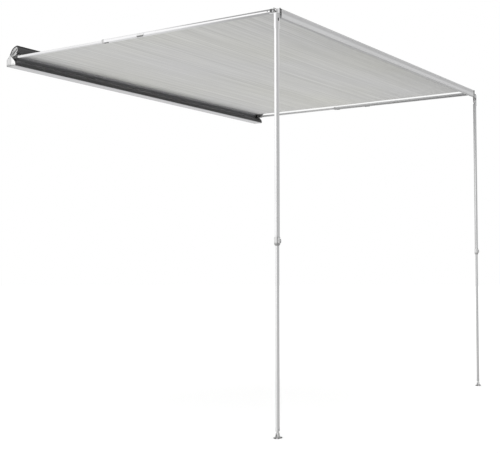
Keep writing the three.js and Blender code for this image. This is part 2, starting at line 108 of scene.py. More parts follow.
# ------------------------------------------------------------------ material tools
class Look:
    """One procedural material. Patterns are in metres, in the part's own frame."""

    def __init__(self, name, metallic=0.0, ior=1.45, specular=0.5, coat=0.0, coat_rough=0.2, sheen=0.0):
        self.m = bpy.data.materials.new(name)
        self.m.use_nodes = True
        self.t = self.m.node_tree
        self.t.nodes.clear()
        self.out = self.t.nodes.new("ShaderNodeOutputMaterial")
        self.b = self.t.nodes.new("ShaderNodeBsdfPrincipled")
        self.t.links.new(self.b.outputs["BSDF"], self.out.inputs["Surface"])
        self.b.inputs["Metallic"].default_value = metallic
        self.b.inputs["IOR"].default_value = ior
        self.b.inputs["Specular IOR Level"].default_value = specular
        self.b.inputs["Coat Weight"].default_value = coat
        self.b.inputs["Coat Roughness"].default_value = coat_rough
        self.b.inputs["Sheen Weight"].default_value = sheen
        self.coords = self.t.nodes.new("ShaderNodeTexCoord").outputs["Object"]

    def link(self, a, b):
        self.t.links.new(a, b)

    def mapped(self, scale, shift=(0.0, 0.0, 0.0)):
        n = self.t.nodes.new("ShaderNodeMapping")
        n.inputs["Scale"].default_value = scale
        n.inputs["Location"].default_value = shift
        self.link(self.coords, n.inputs["Vector"])
        return n.outputs["Vector"]

    def noise(self, scale, detail=3.0, rough=0.5, shift=(0.0, 0.0, 0.0), distortion=0.0):
        """Noise with its own number of cycles a metre along each axis."""
        if not hasattr(scale, "__len__"):
            scale = (scale, scale, scale)
        n = self.t.nodes.new("ShaderNodeTexNoise")
        n.inputs["Scale"].default_value = 1.0
        n.inputs["Detail"].default_value = detail
        n.inputs["Roughness"].default_value = rough
        n.inputs["Distortion"].default_value = distortion
        self.link(self.mapped(scale, shift), n.inputs["Vector"])
        return n.outputs["Fac"]

    def wave(self, scale, axis="X", shift=(0.0, 0.0, 0.0), distortion=0.0, kind="SIN"):
        n = self.t.nodes.new("ShaderNodeTexWave")
        n.wave_type, n.bands_direction, n.wave_profile = "BANDS", axis, kind
        n.inputs["Scale"].default_value = 1.0
        n.inputs["Distortion"].default_value = distortion
        n.inputs["Detail"].default_value = 1.0
        self.link(self.mapped(scale, shift), n.inputs["Vector"])
        return n.outputs["Fac"]

    def span(self, value, lo, hi, frm=0.3, to=0.7, smooth=False):
        n = self.t.nodes.new("ShaderNodeMapRange")
        n.interpolation_type = "SMOOTHSTEP" if smooth else "LINEAR"
        n.inputs["From Min"].default_value, n.inputs["From Max"].default_value = frm, to
        n.inputs["To Min"].default_value, n.inputs["To Max"].default_value = lo, hi
        self.link(value, n.inputs["Value"])
        return n.outputs["Result"]

    def math(self, op, a, b=None):
        n = self.t.nodes.new("ShaderNodeMath")
        n.operation = op
        for i, v in enumerate((a, b)):
            if v is None:
                continue
            if isinstance(v, (int, float)):
                n.inputs[i].default_value = v
            else:
                self.link(v, n.inputs[i])
        return n.outputs[0]

    def blend(self, fac, a, b):
        """Colour a where fac is 0, colour b where it is 1."""
        n = self.t.nodes.new("ShaderNodeMix")
        n.data_type = "RGBA"
        n.clamp_factor = True
        if isinstance(fac, (int, float)):
            n.inputs[0].default_value = fac
        else:
            self.link(fac, n.inputs[0])
        for i, v in ((6, a), (7, b)):
            if isinstance(v, (tuple, list)):
                n.inputs[i].default_value = (*v, 1.0) if len(v) == 3 else v
            else:
                self.link(v, n.inputs[i])
        return n.outputs[2]

    def scaled(self, colour, value):
        """colour times a grey value."""
        n = self.t.nodes.new("ShaderNodeVectorMath")
        n.operation = "SCALE"
        if isinstance(colour, (tuple, list)):
            n.inputs[0].default_value = colour[:3]
        else:
            self.link(colour, n.inputs[0])
        self.link(value, n.inputs["Scale"])
        return n.outputs[0]

    def axis(self, name):
        n = self.t.nodes.new("ShaderNodeSeparateXYZ")
        self.link(self.coords, n.inputs[0])
        return n.outputs[name]

    def place(self, name):
        """Position in the profiles' millimetres along x, out or up."""
        if name == "x":
            return self.math("MULTIPLY", self.axis("X"), 1000.0)
        if name == "out":
            return self.math("MULTIPLY", self.axis("Y"), -1000.0)
        return self.math("MULTIPLY", self.math("SUBTRACT", self.axis("Z"), LEVEL), 1000.0)

    def graded(self, value, stops):
        """A factor that runs through (position, factor) stops."""
        lo, hi = stops[0][0], stops[-1][0]
        most = max(f for _, f in stops)
        n = self.t.nodes.new("ShaderNodeValToRGB")
        ramp = n.color_ramp
        ramp.interpolation = "LINEAR"
        ramp.elements[0].position, ramp.elements[1].position = 0.0, 1.0
        ramp.elements[0].color = (*[stops[0][1] / most] * 3, 1.0)
        ramp.elements[1].color = (*[stops[-1][1] / most] * 3, 1.0)
        for pos, f in stops[1:-1]:
            e = ramp.elements.new((pos - lo) / (hi - lo))
            e.color = (*[f / most] * 3, 1.0)
        self.link(self.span(value, 0.0, 1.0, lo, hi), n.inputs["Fac"])
        return self.math("MULTIPLY", n.outputs["Color"], most)

    def within(self, value, a, b, soft=0.6):
        """1 between a and b, 0 outside."""
        return self.math("MULTIPLY", self.span(value, 0.0, 1.0, a - soft, a + soft, True), self.span(value, 1.0, 0.0, b - soft, b + soft, True))

    def apply(self, mask, factor):
        """1 where the mask is 0, the factor where it is 1."""
        change = self.math("SUBTRACT", factor, 1.0)
        return self.math("ADD", self.math("MULTIPLY", mask, change), 1.0)

    def product(self, *values):
        v = values[0]
        for w in values[1:]:
            v = self.math("MULTIPLY", v, w)
        return v

    def bump(self, height, strength, distance, before=None):
        n = self.t.nodes.new("ShaderNodeBump")
        n.inputs["Strength"].default_value = strength
        n.inputs["Distance"].default_value = distance
        self.link(height, n.inputs["Height"])
        if before is not None:
            self.link(before, n.inputs["Normal"])
        return n.outputs["Normal"]

    def done(self, colour, rough, normal=None):
        if isinstance(colour, (tuple, list)):
            self.b.inputs["Base Color"].default_value = (*colour[:3], 1.0)
        else:
            self.link(colour, self.b.inputs["Base Color"])
        if isinstance(rough, (int, float)):
            self.b.inputs["Roughness"].default_value = rough
        else:
            self.link(rough, self.b.inputs["Roughness"])
        if normal is not None:
            self.link(normal, self.b.inputs["Normal"])
        return self.m


def along(axis, small, large):
    """Pattern scale that is stretched along one axis."""
    return tuple(small if a == axis else large for a in "XYZ")


def anodised(name, axis, grey, metallic=0.55, tint=(1.0, 1.0, 1.008), contrast=1.0, shade=None):
    """Satin anodised aluminium drawn along one axis: long fine die lines, faint cloudiness."""
    k = Look(name, metallic=metallic, specular=0.45)
    wide = k.noise(along(axis, 0.7, 210), 2, 0.5, (3.1, 7.7, 1.3))
    fine = k.noise(along(axis, 2.4, 1300), 2, 0.6, (9.2, 2.4, 5.5))
    cloud = k.noise(5.0, 3, 0.55, (1.0, 4.0, 2.0))
    v = k.math("MULTIPLY", k.span(wide, 1 - 0.035 * contrast, 1 + 0.03 * contrast), k.span(fine, 1 - 0.045 * contrast, 1 + 0.04 * contrast))
    v = k.math("MULTIPLY", v, k.span(cloud, 0.98, 1.02))
    if shade:
        v = k.math("MULTIPLY", v, shade(k))
    colour = k.scaled(tuple(grey * c for c in tint), v)
    rough = k.math("ADD", k.span(fine, 0.30, 0.40), k.span(cloud, -0.02, 0.03))
    n = k.bump(fine, 0.25, 0.00006)
    n = k.bump(wide, 0.2, 0.00018, n)
    return k.done(colour, rough, n)


def powder(name, grey, axis="X", tint=(1.0, 1.0, 1.03), shade=None):
    """Fine-textured satin powder coat."""
    k = Look(name, specular=0.42)
    grain = k.noise(1500, 3, 0.6)
    peel = k.noise(420, 2, 0.5, (5.0, 1.0, 3.0))
    cloud = k.noise(along(axis, 1.1, 16), 3, 0.5, (2.0, 8.0, 4.0))
    v = k.math("MULTIPLY", k.span(grain, 0.86, 1.16), k.span(cloud, 0.95, 1.06))
    v = k.math("MULTIPLY", v, k.span(peel, 0.97, 1.03))
    if shade:
        v = k.math("MULTIPLY", v, shade(k))
    colour = k.scaled(tuple(grey * c for c in tint), v)
    rough = k.math("ADD", k.span(grain, 0.50, 0.60), k.span(cloud, -0.03, 0.03))
    n = k.bump(grain, 0.35, 0.00010)
    n = k.bump(peel, 0.3, 0.00014, n)
    return k.done(colour, rough, n)


def moulded(name, grey, tint=(1.0, 1.0, 1.0), rough=0.5, specular=0.45, shade=None):
    """Moulded plastic with a fine spark-eroded grain."""
    k = Look(name, specular=specular)
    grain = k.noise(1900, 4, 0.65, (4.0, 2.0, 6.0))
    flow = k.noise(28, 3, 0.5, (7.0, 1.0, 2.0))
    v = k.math("MULTIPLY", k.span(grain, 0.90, 1.10), k.span(flow, 0.965, 1.035))
    if shade:
        v = k.math("MULTIPLY", v, shade(k))
    colour = k.scaled(tuple(grey * c for c in tint), v)
    r = k.math("ADD", k.span(grain, rough - 0.05, rough + 0.06), k.span(flow, -0.02, 0.03))
    n = k.bump(grain, 0.35, 0.00009)
    return k.done(colour, r, n)


def cast(name, grey, tint=(1.0, 1.0, 1.005), metallic=0.45, shade=None):
    """Bead-blasted die casting."""
    k = Look(name, metallic=metallic, specular=0.4)
    blast = k.noise(1100, 4, 0.7, (1.0, 3.0, 9.0))
    flow = k.noise(45, 3, 0.55, (6.0, 5.0, 1.0))
    v = k.math("MULTIPLY", k.span(blast, 0.90, 1.09), k.span(flow, 0.95, 1.05))
    if shade:
        v = k.math("MULTIPLY", v, shade(k))
    colour = k.scaled(tuple(grey * c for c in tint), v)
    r = k.math("ADD", k.span(blast, 0.44, 0.56), k.span(flow, -0.03, 0.04))
    n = k.bump(blast, 0.5, 0.00013)
    return k.done(colour, r, n)


def plated(name, grey, axis="Y", rough=0.28):
    """Zinc-plated steel with fine turning lines and a mottled passivation."""
    k = Look(name, metallic=0.9, specular=0.5)
    turn = k.noise(along(axis, 2600, 240), 2, 0.5, (2.0, 6.0, 4.0))
    spots = k.noise(320, 4, 0.65, (8.0, 1.0, 5.0))
    v = k.math("MULTIPLY", k.span(turn, 0.93, 1.06), k.span(spots, 0.90, 1.08))
    warm = k.blend(k.span(spots, 0.0, 1.0), (grey * 1.02, grey, grey * 0.95), (grey * 0.97, grey, grey * 1.04))
    colour = k.scaled(warm, v)
    r = k.math("ADD", k.span(spots, rough - 0.06, rough + 0.10), k.span(turn, -0.03, 0.04))
    n = k.bump(turn, 0.3, 0.00006)
    return k.done(colour, r, n)


def rubber(name, grey):
    k = Look(name, specular=0.35)
    fine = k.noise(1400, 4, 0.7)
    bloom = k.noise(along("X", 6, 70), 3, 0.55, (3.0, 3.0, 3.0))
    v = k.math("MULTIPLY", k.span(fine, 0.85, 1.15), k.span(bloom, 0.85, 1.25))
    colour = k.scaled((grey, grey, grey * 1.02), v)
    r = k.math("ADD", k.span(fine, 0.72, 0.84), k.span(bloom, -0.05, 0.05))
    n = k.bump(fine, 0.4, 0.00012)
    return k.done(colour, r, n)


def awning_cloth(name, grey, shade=None):
    """Coated woven cloth: ribs and fine irregular streaks run parallel to the case."""
    k = Look(name, specular=0.25, sheen=0.04)
    band = k.noise((0.33, 46, 1.5), 2, 0.5, (2.3, 5.1, 0.0), 0.1)
    streak = k.noise((0.55, 105, 2), 3, 0.55, (7.3, 1.7, 0.0), 0.15)
    thread = k.noise((1.6, 330, 3), 2, 0.6, (4.1, 9.3, 0.0))
    patch = k.noise((0.75, 1.3, 1.0), 2, 0.5, (1.5, 2.5, 0.0))
    slub = k.noise((16, 700, 8), 2, 0.5, (3.5, 6.5, 0.0))
    short = k.noise((1.3, 62, 2), 2, 0.5, (5.9, 3.3, 0.0), 0.1)
    v = k.math("MULTIPLY", k.span(band, 0.935, 1.045), k.span(streak, 0.875, 1.075))
    v = k.math("MULTIPLY", v, k.span(short, 0.94, 1.05))
    v = k.math("MULTIPLY", v, k.span(thread, 0.92, 1.06))
    v = k.math("MULTIPLY", v, k.span(slub, 0.98, 1.02))
    if shade:
        v = k.math("MULTIPLY", v, shade(k))
    tone = k.blend(k.span(patch, 0.0, 1.0), (grey * 1.0, grey * 1.0, grey * 1.0), (grey * 1.018, grey * 1.016, grey * 0.962))
    colour = k.scaled(tone, v)
    ribs = k.wave((1, 5200, 1), "Y", distortion=0.6)
    picks = k.wave((6400, 1, 1), "X", distortion=0.4)
    weave = k.math("ADD", k.math("MULTIPLY", ribs, 0.65), k.math("MULTIPLY", picks, 0.35))
    rough = k.math("ADD", k.span(thread, 0.80, 0.90), k.span(patch, -0.02, 0.02))
    n = k.bump(weave, 0.25, 0.00012)
    n = k.bump(streak, 0.25, 0.0004, n)
    return k.done(colour, rough, n)


def thread_look(name, grey):
    k = Look(name, specular=0.3, sheen=0.1)
    twist = k.wave((900, 900, 0), "DIAGONAL", distortion=0.3)
    fuzz = k.noise(2200, 3, 0.6)
    v = k.math("MULTIPLY", k.span(twist, 0.86, 1.10, 0.0, 1.0), k.span(fuzz, 0.93, 1.06))
    colour = k.scaled((grey, grey, grey * 0.985), v)
    n = k.bump(twist, 0.4, 0.0001)
    return k.done(colour, k.span(fuzz, 0.6, 0.72), n)


def case_shade(k):
    """Painted light and shade set by place: painted light on the wall behind the mouth and high on the beam, painted
    shade low on the beam and at the right end.
    """
    out, up = k.place("out"), k.place("up")
    s = k.math("SUBTRACT", out, k.math("MULTIPLY", k.math("ADD", up, 23.5), 0.94))
    wall = k.within(s, 4.0, 8.5, 0.8)
    wall = k.math("MULTIPLY", wall, k.span(up, 1.0, 0.0, 3.6, 4.6, True))
    wall_f = k.graded(up, [(-24, 6.5), (-16, 6.3), (-11, 4.8), (-6, 3.5), (-1, 4.6), (2.4, 9.0)])
    beam = k.span(s, 0.0, 1.0, 42.0, 48.0, True)
    beam_f = k.graded(up, [(-62, 0.66), (-54, 0.68), (-48, 0.86), (-43, 1.4), (-38, 2.25), (-33, 3.3), (-30, 4.0), (-26, 3.8)])
    beam = k.math("MULTIPLY", beam, k.span(up, 1.0, 0.0, -25.5, -23.5, True))
    end = k.math("MULTIPLY", k.span(k.place("x"), 0.0, 1.0, 1185.0, 1290.0, True), k.math("MULTIPLY", k.span(s, 0.0, 1.0, 42.0, 48.0, True), k.span(up, 0.0, 1.0, -61.0, -57.0, True)))
    return k.product(k.apply(wall, wall_f), k.apply(beam, beam_f), k.apply(end, 0.30))


def hood_shade(k):
    """Tone set by place: near black along the nose line, where hood and fascia meet."""
    out, up = k.place("out"), k.place("up")
    nose = k.math("MULTIPLY", k.span(up, 0.0, 1.0, 40.0, 44.0, True), k.span(out, 0.0, 1.0, 84.0, 89.0, True))
    k.b.inputs["Specular IOR Level"].default_value = 0.28
    return k.apply(nose, 0.10)


def back_shade(k):
    """Painted light set by place: the rear shell's inside, low down, is made pale to stand in for light reaching into
    the mouth.
    """
    out, up = k.place("out"), k.place("up")
    inner = k.math("SUBTRACT", out, k.math("ADD", k.math("MULTIPLY", k.math("SUBTRACT", up, 5.3), 0.63), 28.7))
    mask = k.math("MULTIPLY", k.span(inner, 0.0, 1.0, 0.0, 0.6), k.span(up, 1.0, 0.0, 13.0, 16.0, True))
    return k.apply(mask, 10.0)


def rail_shade(k):
    # Painted shade set by place along the rail's bottom edge and its top chamfer; also a darker band a little below the
    # top, and a little darker toward the right end.
    x, up = k.place("x"), k.place("up")
    f = k.graded(up, [(-43.0, 0.44), (-41.4, 0.50), (-40.4, 0.82), (-39.0, 1.0), (-36.0, 1.06), (-31.0, 1.05), (-24.0, 1.0), (-20.0, 0.94),
                      (-16.5, 0.80), (-12.0, 0.78), (-8.0, 0.87), (-3.0, 0.93), (1.0, 0.84), (4.6, 0.72)])
    g = k.graded(x, [(-1316.0, 1.0), (-1100.0, 1.0), (1300.0, 0.93)])
    return k.product(f, g)


def tube_shade(k):
    """Thick rafter tube: a grey line along its top that widens toward the rail, painted shade along its lower edge that
    grows toward the rail, painted shade over the whole right tube that grows toward the rail, and a little painted
    light over the whole left tube.
    """
    x, out, up = k.place("x"), k.place("out"), k.place("up")
    depth = k.graded(out, [(780.0, 1.0), (1147.0, 0.97), (1311.0, 0.72), (1391.0, 0.56), (1470.0, 0.52), (1623.0, 0.44), (1771.0, 0.40), (1867.0, 0.34), (1908.0, 0.34)])
    edge = k.graded(out, [(780.0, -7.0), (1908.0, -11.5)])
    line = k.span(k.math("SUBTRACT", up, edge), 0.0, 1.0, -1.2, 1.2, True)
    low = k.span(up, 1.0, 0.0, -17.6, -15.8, True)
    near = k.span(x, 1.0, 0.0, -10.0, 10.0)
    far = k.math("SUBTRACT", 1.0, near)
    low_f = k.product(k.apply(far, k.graded(out, [(780.0, 0.60), (1335.0, 0.50), (1900.0, 0.42)])), k.apply(near, k.graded(out, [(780.0, 1.0), (1250.0, 0.92), (1700.0, 0.50), (1908.0, 0.44)])))
    top_f = k.apply(near, depth)
    return k.product(k.apply(line, top_f), k.apply(low, low_f),
                     k.apply(far, k.graded(out, [(780.0, 0.90), (1335.0, 0.74), (1900.0, 0.56)])), k.apply(near, 1.08))


def thin_shade(k):
    """Painted shade set by place: dark where the left thin tube leaves its boot, and the right thin tube duller all
    along.
    """
    x, out = k.place("x"), k.place("out")
    root = k.math("MULTIPLY", k.span(out, 1.0, 0.0, 86.0, 88.5), k.span(x, 1.0, 0.0, -10.0, 10.0))
    return k.product(k.span(x, 1.0, 0.84, -10.0, 10.0), k.apply(root, 0.10))


def low_cap_shade(k):
    """Painted light and shade set by place on the lower cap's end face: duller to the rear and dark along its rear
    edge, a painted highlight toward the front, and painted shade along the bottom edge.
    """
    x, out, up = k.place("x"), k.place("out"), k.place("up")
    face = k.math("GREATER_THAN", k.math("ABSOLUTE", x), 1349.0)
    side = k.graded(out, [(-1.0, 0.62), (3.0, 0.66), (8.0, 0.80), (20.0, 0.84), (33.0, 0.72), (43.0, 1.10), (72.0, 1.35)])
    foot = k.graded(up, [(-65.2, 0.36), (-61.0, 0.36), (-56.0, 0.80), (-50.0, 1.0), (5.0, 1.0)])
    return k.apply(face, k.math("MULTIPLY", side, foot))


def high_cap_shade(k):
    x, out = k.place("x"), k.place("out")
    face = k.math("GREATER_THAN", k.math("ABSOLUTE", x), 1349.2)
    fade = k.noise((60.0, 30.0, 90.0), 2, 0.5, (2.0, 5.0, 8.0))
    side = k.graded(out, [(30.0, 0.34), (40.0, 0.50), (56.0, 0.66), (70.0, 0.84), (98.0, 1.0)])
    return k.math("MULTIPLY", k.apply(face, side), k.span(fade, 0.86, 1.10))


def cloth_shade(k):
    """Tone set by place: the cloth is a little duller toward the rail and the right corner."""
    x, out = k.place("x"), k.place("out")
    far = k.graded(out, [(60.0, 1.0), (900.0, 0.985), (1450.0, 0.94), (1700.0, 0.87), (1881.0, 0.81)])
    mix = k.span(x, 0.6, 1.0, -1294.0, -300.0, True)
    return k.apply(mix, far)


def leg_shade(k):
    """The leg tube's front carries two tones, one on each side of its middle line, and they change slowly down the leg.
    Painted light brightens the left leg's outer side and turns to painted shade toward its front edge; painted shade
    darkens the right leg's inner side.
    """
    x, out, up = k.place("x"), k.place("out"), k.place("up")
    front = k.span(out, 0.0, 1.0, 1925.2, 1925.8)
    third = k.within(x, -1329.4, -1316.0, 0.7)
    run = k.graded(up, [(-2120.0, 0.76), (-1240.0, 0.74), (-700.0, 0.82), (-455.0, 1.08), (-160.0, 1.36), (-30.0, 1.38)])
    tones = k.graded(x, [(-1349.5, 1.0), (-1340.0, 1.0), (-1337.6, 0.80), (-1330.0, 0.78), (-1329.2, 1.0), (1319.0, 0.74), (1330.0, 0.72), (1332.0, 0.80), (1349.0, 0.84)])
    near_side = k.span(x, 1.0, 0.0, -1347.3, -1345.7)
    far_side = k.math("MULTIPLY", k.within(x, 1300.0, 1322.6, 0.3), k.span(out, 1.0, 0.0, 1925.2, 1926.0))
    return k.product(k.apply(front, tones), k.apply(k.math("MULTIPLY", front, third), run),
                     k.apply(near_side, k.graded(out, [(1913.0, 1.2), (1920.0, 1.2), (1924.0, 1.0), (1927.2, 0.72), (1929.5, 0.72)])), k.apply(far_side, 0.52))


def collar_shade(k):
    """Collar: painted shade makes its front duller than its outer side and its foot darker."""
    x, out, up = k.place("x"), k.place("out"), k.place("up")
    front = k.span(out, 0.0, 1.0, 1928.6, 1929.6)
    return k.product(k.apply(front, 0.78), k.graded(up, [(-1172.0, 0.45), (-1167.0, 0.60), (-1161.0, 1.0), (-1130.0, 0.95)]))


def foot_shade(k):
    """Painted shade set by place: darker round the foot plate's holes and under its ears."""
    x, up = k.place("x"), k.place("up")
    away = k.math("ABSOLUTE", k.math("SUBTRACT", k.math("ABSOLUTE", x), 1334.0))
    low = k.span(up, 1.0, 0.0, -2106.0, -2102.0, True)
    return k.apply(low, k.graded(away, [(0.0, 0.6), (7.0, 0.55), (10.0, 0.95), (13.0, 0.8), (15.0, 0.45), (19.5, 0.45), (21.0, 0.9), (23.0, 0.9)]))


def lever_shade(k):
    """Rafter lever: pale like the tube, dark along its lower edge."""
    return k.graded(k.place("up"), [(-21.0, 0.14), (-19.6, 0.18), (-18.4, 0.85), (-10.0, 1.0)])


def rail_cap_shade(k):
    """Rail end cap: dark at the top and round its screw, paler between."""
    up = k.place("up")
    return k.graded(up, [(-40.0, 3.6), (-34.0, 3.6), (-31.0, 0.7), (-14.0, 0.6), (-11.0, 2.4), (-7.0, 2.4), (-4.0, 0.6), (5.0, 0.6)])


LOOKS = {
    "case": powder("powder_case", 0.050, shade=case_shade),
    "tip": cast("cast_rafter_tip", 0.46, metallic=0.3, shade=tube_shade),
    "lever": moulded("lever_plastic", 0.50, shade=lever_shade),
    "rail_cap": moulded("rail_cap_plastic", 0.052, shade=rail_cap_shade),
    "black": moulded("black_plastic", 0.012, specular=0.2),
    "collar": moulded("collar_plastic", 0.42, shade=collar_shade),
    "tab": moulded("tab_plastic", 0.13),
    "foot": moulded("foot_plastic", 0.46, shade=foot_shade),
    "collar_ring": moulded("collar_ring_plastic", 0.34),
    "pale": moulded("pale_plastic", 0.74),
    "hood": powder("powder_hood", 0.053, shade=hood_shade),
    "shell_back": powder("powder_shell_back", 0.050, shade=back_shade),
    # painted light: the wound cloth takes a paler tone than the canopy cloth, where it sits in the mouth's shade
    "roll": awning_cloth("rolled_cloth", 0.80),
    "tube": anodised("anodised_rafter_tube", "Y", 0.52, metallic=0.3, shade=tube_shade),
    "anthracite": powder("powder_anthracite", 0.050),
    "underside": anodised("anodised_underside", "X", 0.41, metallic=0.35, tint=(1.0, 0.995, 1.012)),
    "rail": anodised("anodised_rail", "X", 0.53, metallic=0.35, shade=rail_shade),
    "rafter": anodised("anodised_rafter", "Y", 0.53, metallic=0.3, shade=thin_shade),
    "leg": anodised("anodised_leg", "Z", 0.46, metallic=0.3, shade=leg_shade),
    "cap_silver": moulded("satin_silver_cap", 0.50, rough=0.38, shade=low_cap_shade),
    "cap_grey": moulded("light_grey_cap", 0.36, rough=0.5, shade=high_cap_shade),
    "cast": cast("cast_grey", 0.44),
    "cast_dark": cast("cast_black_painted", 0.045, metallic=0.0),
    "steel": plated("zinc_plate", 0.46),
    "steel_dark": plated("dark_zinc_plate", 0.07, rough=0.36),
    "dark": moulded("dark_plastic", 0.052),
    "mid": moulded("mid_grey_plastic", 0.20),
    "light": moulded("light_grey_plastic", 0.46),
    "rubber": rubber("black_rubber", 0.018),
    "cloth": awning_cloth("awning_cloth", 0.512, shade=cloth_shade),
    "thread": thread_look("thread", 0.50),
}

FINISH = {
    "case_body": "case", "hood_back": "shell_back", "hood_shell": "hood", "front_fascia": "hood", "mouth_seal": "rubber",
    "underside_trim": "underside", "lower_end_cap": "cap_silver", "upper_end_cap": "cap_grey", "cap_inlay": "dark",
    "roller_bearing": "cast", "rafter_bracket": "cast_dark", "rafter_pin": "steel_dark", "roller_tube": "steel",
    "roller_plug": "dark", "cloth_roll": "roll", "canopy_cloth": "cloth", "cloth_bead": "cloth", "lead_rail": "rail",
    "rail_end_cap": "rail_cap", "leg_bracket": "cast", "leg_pin": "steel_dark", "rafter_knuckle": "cast_dark",
    "rafter_inner": "rafter", "rafter_outer": "tube", "rafter_collar": "collar_ring", "rafter_lock": "lever",
    "rafter_tip": "tip", "leg_head": "cast", "leg_upper": "leg", "leg_collar": "collar", "leg_lock": "light",
    "leg_lower": "leg", "leg_stem": "cast", "foot_pin": "steel", "foot_plate": "foot",
    # painted light: the right knuckle and bracket take a paler tone than the left end's, where the two are mirror
    # images as solids, to lighten them in the mouth's shade
    "rafter_knuckle_right": "tab", "rafter_bracket_right": "tab",
}


# ------------------------------------------------------------------ CAD nodes: finish, soft edges, smooth arcs
EDGE = {  # bevel width in millimetres; parts not named here get 0.35
    "case_body": 0.5, "underside_trim": 0.3, "hood_back": 0.3, "hood_shell": 0.35, "front_fascia": 0.35, "lower_end_cap": 0.7, "upper_end_cap": 0.5,
    "rail_end_cap": 0.6, "rafter_collar": 0.5, "leg_collar": 0.8, "leg_lock": 0.4, "foot_plate": 0.5, "leg_bracket": 0.4,
    "mouth_seal": 0.2, "cap_inlay": 0.25, "canopy_cloth": 0.0, "cloth_roll": 0.0, "cloth_bead": 0.0,
}
for name, o in NODES.items():
    base = name.rsplit("_left", 1)[0].rsplit("_right", 1)[0]
    o.data.materials.clear()
    o.data.materials.append(LOOKS[FINISH.get(name, FINISH.get(base))])
    mesh = o.data
    if "custom_normal" in mesh.attributes:
        mesh.attributes.remove(mesh.attributes["custom_normal"])
    mesh.polygons.foreach_set("use_smooth", [True] * len(mesh.polygons))
    weld = o.modifiers.new("weld", "WELD")
    weld.merge_threshold = 0.000002
    width = EDGE.get(base, 0.35)
    if width:
        bevel = o.modifiers.new("soft_edges", "BEVEL")
        bevel.width = width / 1000.0
        bevel.segments = 2
        bevel.limit_method = "ANGLE"
        bevel.angle_limit = math.radians(32)
        bevel.use_clamp_overlap = True
        bevel.harden_normals = False
    wn = o.modifiers.new("flat_faces", "WEIGHTED_NORMAL")
    wn.weight = 50
    wn.keep_sharp = False


# ------------------------------------------------------------------ mesh tools
def piece(name, verts, faces, look, body, smooth=True):
    mesh = bpy.data.meshes.new(name)
    mesh.from_pydata([tuple(v) for v in verts], [], faces)
    mesh.validate()
    mesh.update()
    bm = bmesh.new()
    bm.from_mesh(mesh)
    bmesh.ops.recalc_face_normals(bm, faces=bm.faces)
    bm.to_mesh(mesh)
    bm.free()
    mesh.polygons.foreach_set("use_smooth", [smooth] * len(mesh.polygons))
    mesh.materials.append(LOOKS[look])
    o = bpy.data.objects.new(name, mesh)
    scene.collection.objects.link(o)
    if body:
        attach(o, body)
    return o


def block(name, runs, look, body, bevel=0.3):
    """Joins straight prisms with soft edges. Each run is (points, axis, start, end); points are profile millimetres
    on the other two axes, in the order x, out, up."""
    bm = bmesh.new()
    for pts, axis, a0, a1 in runs:
        rings = []
        for a in (a0, a1):
            ring = []
            for p, q in pts:
                xyz = {"x": (a, p, q), "out": (p, a, q), "up": (p, q, a)}[axis]
                ring.append(bm.verts.new(at(*xyz)))
            rings.append(ring)
        n = len(pts)
        bm.faces.new(rings[0])
        bm.faces.new(list(reversed(rings[1])))
        for i in range(n):
            bm.faces.new((rings[0][i], rings[1][i], rings[1][(i + 1) % n], rings[0][(i + 1) % n]))
    bmesh.ops.recalc_face_normals(bm, faces=bm.faces)
    if bevel:
        sharp = [e for e in bm.edges if len(e.link_faces) == 2 and e.calc_face_angle(0.0) > 0.5]
        bmesh.ops.bevel(bm, geom=sharp, offset=bevel / 1000.0, segments=2, affect="EDGES", profile=0.6, clamp_overlap=True)
    mesh = bpy.data.meshes.new(name)
    bm.to_mesh(mesh)
    bm.free()
    mesh.polygons.foreach_set("use_smooth", [True] * len(mesh.polygons))
    mesh.materials.append(LOOKS[look])
    o = bpy.data.objects.new(name, mesh)
    scene.collection.objects.link(o)
    wn = o.modifiers.new("flat_faces", "WEIGHTED_NORMAL")
    wn.weight = 50
    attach(o, body)
    return o


def funnel(name, x, out, rings, look, body, n=32):
    """A ring-shaped boss of rounded-rectangular section, wide at the top; rings are (half width, half depth, up)."""
    verts, faces = [], []
    inner = [(12.6, 5.6, rings[-1][2] + 0.1), (12.6, 5.6, rings[0][2])]
    for a, b, up in list(rings) + inner:
        for i in range(n):
            t = 2 * math.pi * i / n
            c, d = math.cos(t), math.sin(t)
            verts.append(at(x + a * math.copysign(abs(c) ** 0.42, c), out + b * math.copysign(abs(d) ** 0.42, d), up))
    m = len(rings) + 2
    for k in range(m):
        for i in range(n):
            j = (i + 1) % n
            k2 = (k + 1) % m
            faces.append((k * n + i, k * n + j, k2 * n + j, k2 * n + i))
    return piece(name, verts, faces, look, body)


def oval(a, b, ra, rb, n=20):
    return [(a + ra * math.cos(2 * math.pi * i / n), b + rb * math.sin(2 * math.pi * i / n)) for i in range(n)]


def box2(a0, b0, a1, b1):
    return [(a0, b0), (a1, b0), (a1, b1), (a0, b1)]


def basis(normal):
    n = Vector(normal).normalized()
    a = Vector((0, 0, 1)) if abs(n.z) < 0.9 else Vector((1, 0, 0))
    u = n.cross(a).normalized()
    return u, n.cross(u), n


def lathe(verts, faces, centre, normal, rings, n=24, start_flat=True):
    """Adds a turned form: rings are (radius or function of the angle, height) from the foot to the middle of the head."""
    u, v, w = basis(normal)
    first = len(verts)
    for r, h in rings:
        for i in range(n):
            t = 2 * math.pi * i / n
            rr = r(t) if callable(r) else r
            verts.append(centre + (u * math.cos(t) + v * math.sin(t)) * rr + w * h)
    for k in range(len(rings) - 1):
        for i in range(n):
            a, b = first + k * n + i, first + k * n + (i + 1) % n
            faces.append((a, b, b + n, a + n))
    faces.append(tuple(first + (len(rings) - 1) * n + i for i in range(n)))
    faces.append(tuple(first + i for i in reversed(range(n))))


def hexagon(r):
    """Radius of a hexagon of that across-flats half width, by angle."""
    def f(t):
        a = (t + math.pi / 6) % (math.pi / 3) - math.pi / 6
        return r / math.cos(a)
    return f


